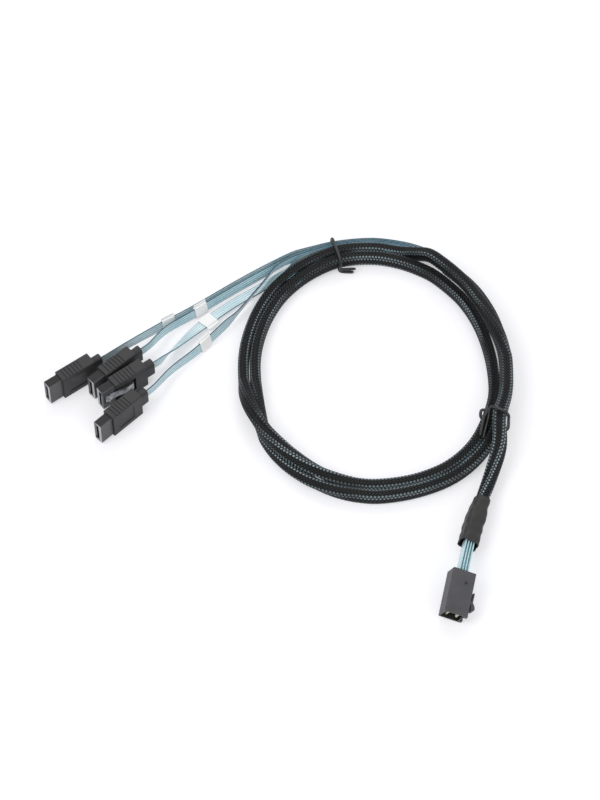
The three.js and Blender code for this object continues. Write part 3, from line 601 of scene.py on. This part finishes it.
LOOKS = {
    "housing": moulded("plug_housing", "#424246", "#4b4b4f", 0.5),
    "overmould": moulded("overmould", "#262628", "#2e2e30", 0.52),
    "insulator": moulded("insulator", "#46464a", "#505053", 0.42),
    # Painted highlight: the near half of each receptacle's front rim is light grey.
    "insulator_rim_painted_highlight": moulded("insulator_rim_painted_highlight", "#a5a6a8", "#bcbdbf", 0.4),
    # Painted shade: the walls inside each receptacle's slot and inside the wide housing are near black.
    "slot": moulded("slot_painted_shade", "#0e0e0f", "#161617", 0.6),
    # Painted reflections: the latch steel is mottled dark and bright, for the dark surroundings it reflects
    # and for glints.
    "steel": metal("latch_steel", ("#5d6165", "#b0b3b6"), 0.22),
    "contacts": metal("contacts", ("#c9b27a", "#e6d7a6"), 0.25),
    "board": moulded("board_edge", "#ece2bd", "#fbf6e2", 0.4, 1500.0),
    "strands": strand_material(),
    "core": painted_shade_core_material(),
    "shrink": rubbery("heat_shrink", "#181716", "#211f1e", 0.55, 420.0, 0.0002),
    "tie": rubbery("tie_coat", "#101011", "#1c1c1e", 0.35, 700.0, 0.0001),
    "paper": paper_material(),
}
RIBBON_WIRES = 4
# Along the coil the ribbons' edges are dark teal: painted shade of the gaps between the stacked ribbons. Near
# the wide plug the ribbons take the copy below, whose edges are pale.
RIBBON_LOOKS_PAINTED_EDGE_SHADE = [
    ribbon_material(f"ribbon_{number}", ribbon_stops(*colours, RIBBON_WIRES))
    for number, colours in enumerate([
        ("#dcecf1", "#5d93a1", "#2f5f6b"),
        ("#cfe9f0", "#4b8da0", "#23505e"),
        ("#e6f4f8", "#86bfcd", "#3c7c8b"),
        ("#d3edf4", "#3f8196", "#183e5c"),
    ], 1)
]
PLUG_END_STOPS = ribbon_stops("#e4f5f9", "#77b9c8", "#b9e2ea", RIBBON_WIRES)
PLUG_END_LOOK = ribbon_material("ribbon_plug_end", PLUG_END_STOPS)


# Meshes


def add_mesh(name, points, faces, materials, uvs=None):
    """A mesh object from points in the layout frame, in millimetres."""
    mesh = bpy.data.meshes.new(name)
    moved = (np.asarray(points, float) + LAYOUT_SHIFT) * MM
    mesh.from_pydata(moved.tolist(), [], faces)
    for material in materials:
        mesh.materials.append(material)
    if uvs is not None:
        layer = mesh.uv_layers.new(name="uv")
        corner_vertices = np.zeros(len(mesh.loops), np.int32)
        mesh.loops.foreach_get("vertex_index", corner_vertices)
        layer.data.foreach_set("uv", np.asarray(uvs, np.float32)[corner_vertices].ravel())
    mesh.polygons.foreach_set("use_smooth", [True] * len(mesh.polygons))
    mesh.update()
    made = bpy.data.objects.new(name, mesh)
    bpy.context.scene.collection.objects.link(made)
    return made


def loft_faces(rings, sides, first=0):
    """Quads between rings of points, and one face over each end."""
    faces = []
    for i in range(rings - 1):
        for j in range(sides):
            a, b = first + i * sides + j, first + i * sides + (j + 1) % sides
            faces.append((a, b, b + sides, a + sides))
    faces.append(tuple(first + j for j in reversed(range(sides))))
    faces.append(tuple(first + (rings - 1) * sides + j for j in range(sides)))
    return faces


def rounded_outline(width, height, radius, steps=8):
    points = []
    for sx, sy, start in ((1, 1, 0), (-1, 1, 90), (-1, -1, 180), (1, -1, 270)):
        for i in range(steps + 1):
            angle = math.radians(start + 90 * i / steps)
            points.append((sx * (width / 2 - radius) + radius * math.cos(angle),
                           sy * (height / 2 - radius) + radius * math.sin(angle)))
    return np.array(points)


OUTLINE_SAMPLES = 721


class Outline:
    """A closed outline read by the share of its length, with the way out at each place."""

    def __init__(self, points):
        closed = np.vstack([points, points[:1]])
        steps = np.linalg.norm(np.diff(closed, axis=0), axis=1)
        self.length = float(steps.sum())
        self.share = np.concatenate([[0], np.cumsum(steps)]) / self.length
        self.closed = closed
        fine = np.linspace(0, 1, OUTLINE_SAMPLES)
        self.fine = fine
        line = np.stack([np.interp(fine, self.share, closed[:, k]) for k in range(2)], axis=-1)
        slope = np.roll(line[:-1], -2, axis=0) - np.roll(line[:-1], 2, axis=0)
        slope /= np.linalg.norm(slope, axis=1)[:, None]
        out = np.stack([slope[:, 1], -slope[:, 0]], axis=-1)
        self.out = np.vstack([out, out[:1]])

    def at(self, u, lift):
        u = np.mod(u, 1.0)
        place = [np.interp(u, self.share, self.closed[:, k]) for k in range(2)]
        out = [np.interp(u, self.fine, self.out[:, k]) for k in range(2)]
        return place[0] + out[0] * lift, place[1] + out[1] * lift


# The sleeve: a core with two sets of flat strands wound round it, each over two and under two of the other

STRANDS = 16
STRAND_WIDTH = 1.05
STRAND_LIFT = 0.1
STRAND_CROWN = 0.12
STRAND_INSET = 0.14
TURN_LENGTH = 29.0
CORE_INSET = 0.5
CORE_CORNER = 1.5
CORE_RINGS = 640
CORE_SIDES = 24
FLOAT_MIDDLES = {1: 0.5 / 4, -1: 2.5 / 4}
SLEEVE_OUTLINE = Outline(rounded_outline(SLEEVE_THICKNESS, SLEEVE_WIDTH, CORE_CORNER))


def make_core():
    stations = np.linspace(0, SLEEVE_LINE.length, CORE_RINGS)
    shares = np.arange(CORE_SIDES) / CORE_SIDES
    x, y = SLEEVE_OUTLINE.at(shares, -CORE_INSET)
    points = SLEEVE_LINE.at(stations[:, None], x[None, :], y[None, :]).reshape(-1, 3)
    return add_mesh("sleeve_core", points, loft_faces(len(stations), CORE_SIDES), [LOOKS["core"]])


def make_strands(name, way):
    """All the strands that wind one way round the sleeve, each a long closed strip with a raised middle."""
    spacing = TURN_LENGTH / (2 * STRANDS)
    crossings = np.arange(1, int(SLEEVE_LINE.length / spacing))
    slant = math.atan2(SLEEVE_OUTLINE.length, TURN_LENGTH)
    aside = STRAND_WIDTH / 2 * math.cos(slant) / SLEEVE_OUTLINE.length
    ahead = -way * STRAND_WIDTH / 2 * math.sin(slant)
    all_points, all_faces, all_uvs = [], [], []
    for k in range(STRANDS):
        partner = k if way > 0 else (k - crossings) % STRANDS
        over = ((crossings + 2 * partner) % 4 < 2) == (way > 0)
        lift = np.where(over, STRAND_LIFT, -STRAND_LIFT) - STRAND_INSET
        s = crossings * spacing
        u = k / STRANDS + way * s / TURN_LENGTH
        rows = []
        for share, crown in ((-1, 0), (0, STRAND_CROWN), (1, 0)):
            place = np.clip(s + share * ahead, 0, SLEEVE_LINE.length)
            x, y = SLEEVE_OUTLINE.at(u + share * aside, lift + crown)
            rows.append(SLEEVE_LINE.at(place, x, y))
        first = sum(len(p) for p in all_points)
        all_points.append(np.stack(rows, axis=1).reshape(-1, 3))
        across = np.tile([0.0, 0.5, 1.0], len(s))
        floats = u * STRANDS / 2 + 0.5 - FLOAT_MIDDLES[way]
        all_uvs.append(np.stack([across, np.repeat(floats, 3)], axis=-1))
        all_faces += loft_faces(len(s), 3, first)
    return add_mesh(name, np.vstack(all_points), all_faces, [LOOKS["strands"]], np.vstack(all_uvs))


def make_sleeve():
    core = make_core()
    strands = [make_strands("sleeve_strands_a", 1), make_strands("sleeve_strands_b", -1)]
    for piece in (core, *strands):
        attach(piece, ROOT)
    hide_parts("braided_sleeve")
    path = (SLEEVE_LINE.points + LAYOUT_SHIFT) * MM
    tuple(path[0])


# The heat shrink over the sleeve's start


SHRINK_SCALES = [1.32, 1.25, 1.23, 1.25, 1.09, 1.0]
SHRINK_CORNER = 2.0
SHRINK_RINGS = 57
SHRINK_SIDES = 48
SHRINK_STEPS = 8
SMOOTHED_OVER = 3
MOUTH_PRESSED = 0.7
PRESSED_SHARE = 0.45


def make_heat_shrink():
    """A tube with an inner and an outer skin, pressed flat at its mouth, and folded a little."""
    line = line_of(finer(TRUNK[SHRINK_MOUTH:SHRINK_TOP + 1], SHRINK_STEPS))
    knots = np.linspace(0, 1, len(SHRINK_SCALES))
    stations = np.linspace(0, 1, SHRINK_RINGS)
    angles = 2 * np.pi * np.arange(SHRINK_SIDES) / SHRINK_SIDES
    window = 2 * SMOOTHED_OVER + 1
    size = np.pad(np.interp(stations, knots, SHRINK_SCALES), SMOOTHED_OVER, mode="edge")
    size = np.convolve(size, np.ones(window) / window, mode="valid")[:, None]
    wall = 2 * (CLEARANCE + SHRINK_WALL)
    outer = Outline(rounded_outline(SLEEVE_THICKNESS + wall, SLEEVE_WIDTH + wall, SHRINK_CORNER))
    x, y = outer.at(np.arange(SHRINK_SIDES) / SHRINK_SIDES, 0.0)
    t = stations[:, None]
    folds = 0.16 * np.sin(3 * angles[None, :] + 9 * t) * np.sin(math.pi * t) ** 0.5
    folds += 0.1 * np.sin(7 * angles[None, :] - 17 * t + 1.3)
    folds += 0.12 * np.sin(31 * t + 2 * np.sin(angles[None, :]))
    way = np.stack([x, y], axis=-1)
    way /= np.linalg.norm(way, axis=1)[:, None]
    rings = []
    pressed = np.interp(stations, [0, PRESSED_SHARE], [MOUTH_PRESSED, 1.0])[:, None]
    for order, inset in ((1, 0.0), (-1, SHRINK_WALL)):
        px = x[None, :] * size + way[None, :, 0] * (folds - inset)
        py = y[None, :] * size * pressed + way[None, :, 1] * (folds - inset)
        points = line.at(stations[:, None] * line.length, px, py)
        rings.append(points[::order])
    points = np.concatenate(rings).reshape(-1, 3)
    count = 2 * len(stations)
    faces = loft_faces(count, SHRINK_SIDES)[:-2]
    last = (count - 1) * SHRINK_SIDES
    for j in range(SHRINK_SIDES):
        following = (j + 1) % SHRINK_SIDES
        faces.append((last + j, last + following, following, j))
    made = add_mesh("heat_shrink_skin", points, faces, [LOOKS["shrink"]])
    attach(made, ROOT)
    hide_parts("heat_shrink")


# The ribbons

BEHIND_COLLAR = (6, 0.5, -(COLLAR_LENGTH - CLEARANCE))
FREE_STEPS = 7
HELD_STEPS = 4
PLUG_END_LENGTH = 34
WEB_HALF = 0.18
STEPS_PER_WIRE = 4
LOBE_POWER = 0.6


def ribbon_places(index):
    """The places of one ribbon: in its slot along the trunk, then out to its plug."""
    points = np.array([point for point, _ in TRUNK])
    rolls = np.array([roll for _, roll in TRUNK], float)
    _, across, _ = frames_along(points, rolls)
    last_bare = len(HELD)
    held = []
    for i, (point, roll) in enumerate(TRUNK):
        to_plug = (SLEEVE_START - i) / SLEEVE_START if i < SLEEVE_START else 0
        pitch = RIBBON_PITCH + (RIBBON_PITCH_AT_PLUG - RIBBON_PITCH) * min(1, 2 * to_plug)
        if i >= last_bare:
            pitch = PAST_SLEEVE[i - last_bare][PITCH]
        held.append((point + across[i] * SLOTS[index] * pitch, roll))
    route = [(np.array(row[:3]), row[3]) for row in BREAKOUTS[index]]
    collar = BODY_LENGTH + COLLAR_LENGTH
    for back in BEHIND_COLLAR:
        into = PLUG_MATRICES[index] @ Vector((-collar - back, 0, PLUG_HEIGHT / 2))
        route.append((np.array(into), 0))
    ends = [(held[-2][0], 0), (held[-1][0], 0)]
    return held, smoothed([*ends, *route], 1, lambda a, b: FREE_STEPS)


def ribbon_section():
    """Half of the outline over the flat face, as lobes over the wires, then the other half."""
    steps = STEPS_PER_WIRE * RIBBON_WIRES
    across = np.linspace(-RIBBON_WIDTH / 2, RIBBON_WIDTH / 2, steps + 1)
    share = np.linspace(0, 1, steps + 1)
    lobe = np.abs(np.sin(np.pi * RIBBON_WIRES * share)) ** LOBE_POWER
    half = WEB_HALF + (RIBBON_THICKNESS / 2 - WEB_HALF) * lobe
    top = np.stack([half, across], axis=-1)
    bottom = np.stack([-half, across], axis=-1)[::-1]
    return np.vstack([top, bottom]), np.concatenate([share, share[::-1]])


def make_ribbon(index):
    held, free = ribbon_places(index)
    rest = len(HELD) - 2
    near = finer(held[:SLEEVE_START + 1], HELD_STEPS)
    turns = held[SLEEVE_START + 1:rest]
    line = line_of([*near, *turns, *finer(held[rest:], HELD_STEPS), *free])
    section, share = ribbon_section()
    points = (line.points[:, None, :] + line.across[:, None, :] * section[None, :, :1]
              + line.along[:, None, :] * section[None, :, 1:]).reshape(-1, 3)
    uvs = np.stack([np.tile(share, len(line.points)), np.repeat(line.s, len(share))], axis=-1)
    number = index + 1
    faces = loft_faces(len(line.points), len(section))
    made = add_mesh(f"ribbon_{number}_band", points, faces, [RIBBON_LOOKS_PAINTED_EDGE_SHADE[index], PLUG_END_LOOK], uvs)
    # The first stretch from the wide plug gets the pale-edged copy; the rest keeps the edges in painted
    # shade.
    near_plug = int(np.searchsorted(line.s, PLUG_END_LENGTH)) * len(section)
    made.data.polygons.foreach_set("material_index", [int(face < near_plug) for face in range(len(faces))])
    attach(made, ROOT)
    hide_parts(f"ribbon_{number}")
    path = (line.points + LAYOUT_SHIFT) * MM
    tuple(path[0])


# The ties: coated wire bent round the bundle

TIE_STAND_OFF = TIE_RADIUS + CLEARANCE + 0.15
TIE_FLOOR = TIE_RADIUS + TIE_LIFT
TIE_SIDES = 14
TIE_STEPS = 8
TIE_ENDS = (0.55, 0.85, 1.0)


def lower_tie_points():
    (top_offset, inner_offset), (top_height, inner_height) = (
        [value_at(PASSES, azimuth, column) for azimuth in (COIL_START, COIL_START + COIL_TURN)]
        for column in (OFFSET, HEIGHT)
    )
    left = inner_offset - LAID_FLAT - TIE_STAND_OFF
    right = top_offset + ON_EDGE + TIE_STAND_OFF + 0.6
    roof = top_height + LAID_FLAT + TIE_STAND_OFF
    shoulder = inner_height + ON_EDGE + TIE_STAND_OFF
    ring = [
        (left + 3.4, shoulder + 1.6),
        (left + 2.0, shoulder),
        (left, shoulder - 1.9),
        (left, 2.6),
        (left + 1.5, TIE_FLOOR + 0.1),
        (inner_offset + 2, TIE_FLOOR),
        (right - 1.6, TIE_FLOOR + 0.1),
        (right, 2.6),
        (right, top_height - 1),
        (right - 0.4, roof - 1.6),
        (right - 2.4, roof),
        (top_offset - 2.4, roof),
        (top_offset - ON_EDGE - 1.4, roof - 1.6),
    ]
    legs = [(-2.0, 10.2, 3), (0.9, 9.2, 12)]
    shift = 2 * TIE_RADIUS + 0.4
    near, far = ([coil_point(COIL_START - back, offset + aside, height) for offset, height, back in legs]
                 for aside in (0, shift))
    return [near[1], near[0], *[coil_point(COIL_START, *place) for place in ring], far[0], far[1]]


def upper_tie_points():
    bare_at = UPPER_TIE_AT + 2 * COIL_TURN
    half_stack = (3 * value_at(PAST_SLEEVE, bare_at, PITCH) + RIBBON_THICKNESS) / 2
    outer = value_at(PAST_SLEEVE, bare_at, OFFSET) + half_stack
    first = value_at(PASSES, UPPER_TIE_AT, OFFSET)
    second = value_at(PASSES, UPPER_TIE_AT + COIL_TURN, OFFSET)
    left = second - LAID_FLAT - TIE_STAND_OFF
    right = outer + TIE_STAND_OFF + 0.3
    roof = value_at(PASSES, UPPER_TIE_AT, HEIGHT) + ON_EDGE + TIE_STAND_OFF
    lower = value_at(PAST_SLEEVE, bare_at, HEIGHT) + RIBBON_WIDTH / 2 + TIE_STAND_OFF
    ring = [
        (left, 3.6),
        (left, roof - 1.9),
        (left + 1.9, roof),
        (first, roof),
        (first + LAID_FLAT - 0.2, roof - 0.5),
        (right - 1.4, lower + 0.2),
        (right, lower - 1.6),
        (right, 3.0),
        (right - 1.5, TIE_FLOOR + 0.1),
        (first, TIE_FLOOR),
        (second, TIE_FLOOR),
        (left + 0.7, TIE_FLOOR + 0.1),
    ]

    def leg(back, lean, height):
        return coil_point(UPPER_TIE_AT - back, left - lean, height)

    middle = [coil_point(UPPER_TIE_AT, *place) for place in ring]
    return [leg(7, 1.7, 3.2), leg(1.7, 0.5, 3.2), *middle, leg(1.7, 0.5, TIE_FLOOR), leg(6, 2.1, TIE_FLOOR)]


def make_tie(node, points):
    """A round tube on the smooth line through the points, with round ends."""
    places = [(np.array(point), 0) for point in points]
    line = np.array([point for point, _ in finer(places, TIE_STEPS)])
    tangent = np.gradient(line, axis=0)
    tangent /= np.linalg.norm(tangent, axis=1)[:, None]
    normal = np.cross(tangent[0], UP)
    angles = 2 * np.pi * np.arange(TIE_SIDES) / TIE_SIDES
    rings = []
    for i, (point, way) in enumerate(zip(line, tangent)):
        normal = normal - way * float(normal @ way)
        normal /= np.linalg.norm(normal)
        other = np.cross(way, normal)
        from_end = min(i, len(line) - 1 - i, len(TIE_ENDS) - 1)
        radius = TIE_RADIUS * TIE_ENDS[from_end]
        rings.append(point + radius * (np.cos(angles)[:, None] * normal + np.sin(angles)[:, None] * other))
    faces = loft_faces(len(line), TIE_SIDES)
    made = add_mesh(f"{node}_wire", np.concatenate(rings), faces, [LOOKS["tie"]])
    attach(made, ROOT)
    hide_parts(node)


# The plugs and labels keep their solids, which get round edges and their own materials


WELD_DISTANCE = 0.000002
ROUNDED_FROM_DEGREES = 35


def dress(node, looks, bevel=0.0, pick=None):
    """Gives a CAD node its materials, and round edges of the given radius. Pick chooses a face's material."""
    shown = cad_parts[node]
    shown.data.materials.clear()
    for look in looks:
        shown.data.materials.append(look)
    for face in shown.data.polygons:
        face.material_index = pick(face) if pick else 0
    if bevel:
        weld = shown.modifiers.new("weld", "WELD")
        weld.merge_threshold = WELD_DISTANCE
        edges = shown.modifiers.new("round_edges", "BEVEL")
        edges.width = bevel * MM
        edges.segments = 2
        edges.limit_method = "ANGLE"
        edges.angle_limit = math.radians(ROUNDED_FROM_DEGREES)


def in_plug(matrix):
    """A function that takes a face to its middle and normal in the plug's own frame, in millimetres."""
    inverse = (Matrix.Translation(LAYOUT_SHIFT) @ matrix).inverted()
    turn = inverse.to_3x3()
    return lambda face: (inverse @ (face.center * 1000), turn @ face.normal)


SLOT_HALF = 0.75
SLOT_BACK = 1.2
CONTACT_BAND = (0.45, 0.55)
NOSE_LENGTH = 7.75
FACING = 0.9
RECEPTACLE_LOOKS = ("insulator", "insulator_rim_painted_highlight", "contacts", "slot")


def receptacle_pick(matrix):
    """Chooses a face's look: the insulator, the near half of its front rim with a painted highlight, a
    contact or the slot's wall in painted shade.
    """
    local = in_plug(matrix)

    def pick(face):
        place, normal = local(face)
        behind_rim = SLOT_BACK < place.x < NOSE_LENGTH - 0.02
        in_slot = behind_rim and abs(place.y) < SLOT_HALF + 0.01 and abs(normal.x) < 0.5
        if in_slot and CONTACT_BAND[0] < place.y < CONTACT_BAND[1] and normal.y < -FACING:
            return RECEPTACLE_LOOKS.index("contacts")
        # The slot's walls take the painted shade.
        if in_slot or (behind_rim and normal.x > FACING and abs(place.y) < SLOT_HALF):
            return RECEPTACLE_LOOKS.index("slot")
        # The near half of the front rim takes the painted highlight.
        painted_highlight_rim = normal.x > FACING and place.x > NOSE_LENGTH - 0.05 and place.y > 0
        return RECEPTACLE_LOOKS.index("insulator_rim_painted_highlight" if painted_highlight_rim else "insulator")

    return pick


def wide_housing_pick(matrix):
    """Chooses a face's look: the housing's outside, or its inside, near black as painted shade."""
    local = in_plug(matrix)
    half_width = WIDE_PLUG["width"] / 2 - WIDE_PLUG["wall"]
    half_height = WIDE_PLUG["height"] / 2 - WIDE_PLUG["wall"]
    touching = 0.1

    def pick(face):
        place, _ = local(face)
        between = abs(place.y) < half_width and abs(place.z - WIDE_PLUG["height"] / 2) < half_height
        ahead = WIDE_PLUG["rear_wall"] - touching < place.x < WIDE_PLUG["length"] - touching / 10
        return int(between and ahead)

    return pick


def dress_plugs():
    dress("sff_housing", [LOOKS["housing"], LOOKS["slot"]], 0.12, wide_housing_pick(WIDE_PLUG_MATRIX))
    dress("sff_release_lever", [LOOKS["housing"]], 0.1)
    for number in (1, 2):
        dress(f"paddle_card_{number}", [LOOKS["board"]], 0.04)
    for index, matrix in enumerate(PLUG_MATRICES):
        number = index + 1
        dress(f"sata_{number}_overmould", [LOOKS["overmould"]], 0.12)
        looks = [LOOKS[key] for key in RECEPTACLE_LOOKS]
        dress(f"sata_{number}_receptacle", looks, 0.06, receptacle_pick(matrix))
        dress(f"sata_{number}_latch", [LOOKS["steel"]], 0.05)
        dress(f"ribbon_label_{number}", [LOOKS["paper"]], 0.05)


# Floor, world and lamps


def light_path_mix(nodes, links, seen, unseen):
    """The first shader where the camera, a gloss or a clear body looks, and the second for all other rays."""
    path = nodes.new("ShaderNodeLightPath")
    total = path.outputs["Is Camera Ray"]
    for ray in ("Is Glossy Ray", "Is Transmission Ray"):
        total = maths(nodes, links, "MAXIMUM", total, path.outputs[ray])
    mix = nodes.new("ShaderNodeMixShader")
    links.new(total, mix.inputs[0])
    links.new(unseen.outputs[0], mix.inputs[1])
    links.new(seen.outputs[0], mix.inputs[2])
    return mix


FLOOR_SIZE = 12
FLOOR_GAP = 0.00005
LAMPS = {
    "key": {"place": (-0.9, -0.5, 1.3), "size": 0.9, "power": 9.0},
    "fill": {"place": (0.9, -1.1, 1.0), "size": 1.2, "power": 6.0},
    "back": {"place": (0.2, 1.2, 1.2), "size": 1.0, "power": 5.0},
}


def make_floor():
    """A pale floor that the camera sees as white, but for the object's shadow."""
    bpy.ops.mesh.primitive_plane_add(size=FLOOR_SIZE, location=(0, 0, -FLOOR_GAP))
    floor = bpy.context.object
    floor.name = "floor"
    material, nodes, links, shader = new_material("floor")
    nodes.remove(shader)
    plain = add(nodes, "ShaderNodeBsdfDiffuse", Color=(0.8, 0.8, 0.82, 1))
    shaded = add(nodes, "ShaderNodeBsdfDiffuse", Color=(0.62, 0.62, 0.655, 1))
    glow = add(nodes, "ShaderNodeEmission", Color=(1, 1, 1, 1))
    coordinates = nodes.new("ShaderNodeTexCoord")
    away = add(nodes, "ShaderNodeVectorMath", operation="LENGTH")
    links.new(coordinates.outputs["Object"], away.inputs[0])
    brighter = {"From Min": 0.3, "From Max": 1.6, "To Min": 0.46, "To Max": 0.75}
    links.new(ranged(nodes, links, away.outputs["Value"], brighter), glow.inputs["Strength"])
    both = nodes.new("ShaderNodeAddShader")
    links.new(shaded.outputs[0], both.inputs[0])
    links.new(glow.outputs[0], both.inputs[1])
    mix = light_path_mix(nodes, links, both, plain)
    links.new(mix.outputs[0], nodes["Material Output"].inputs["Surface"])
    floor.data.materials.append(material)


def make_world():
    """Soft even light, which the camera and glossy faces see as white."""
    world = bpy.data.worlds.new("studio")
    bpy.context.scene.world = world
    world.use_nodes = True
    nodes, links = world.node_tree.nodes, world.node_tree.links
    soft = nodes["Background"]
    soft.inputs["Color"].default_value = (1, 1, 1, 1)
    soft.inputs["Strength"].default_value = 0.55
    white = add(nodes, "ShaderNodeBackground", Color=(1, 1, 1, 1), Strength=1.0)
    mix = light_path_mix(nodes, links, white, soft)
    links.new(mix.outputs[0], nodes["World Output"].inputs["Surface"])


def make_lamps():
    """Large lamps that look at the object's middle."""
    for name, values in LAMPS.items():
        lamp = bpy.data.lights.new(name, "AREA")
        lamp.size = values["size"]
        lamp.energy = values["power"]
        shown = bpy.data.objects.new(name, lamp)
        shown.location = values["place"]
        shown.rotation_euler = (-Vector(values["place"])).to_track_quat("-Z", "Y").to_euler()
        bpy.context.scene.collection.objects.link(shown)


make_sleeve()
make_heat_shrink()
for ribbon in range(4):
    make_ribbon(ribbon)
make_tie("lower_tie", lower_tie_points())
make_tie("upper_tie", upper_tie_points())
dress_plugs()
make_floor()
make_world()
make_lamps()
bpy.context.scene.view_settings.view_transform = "Standard"
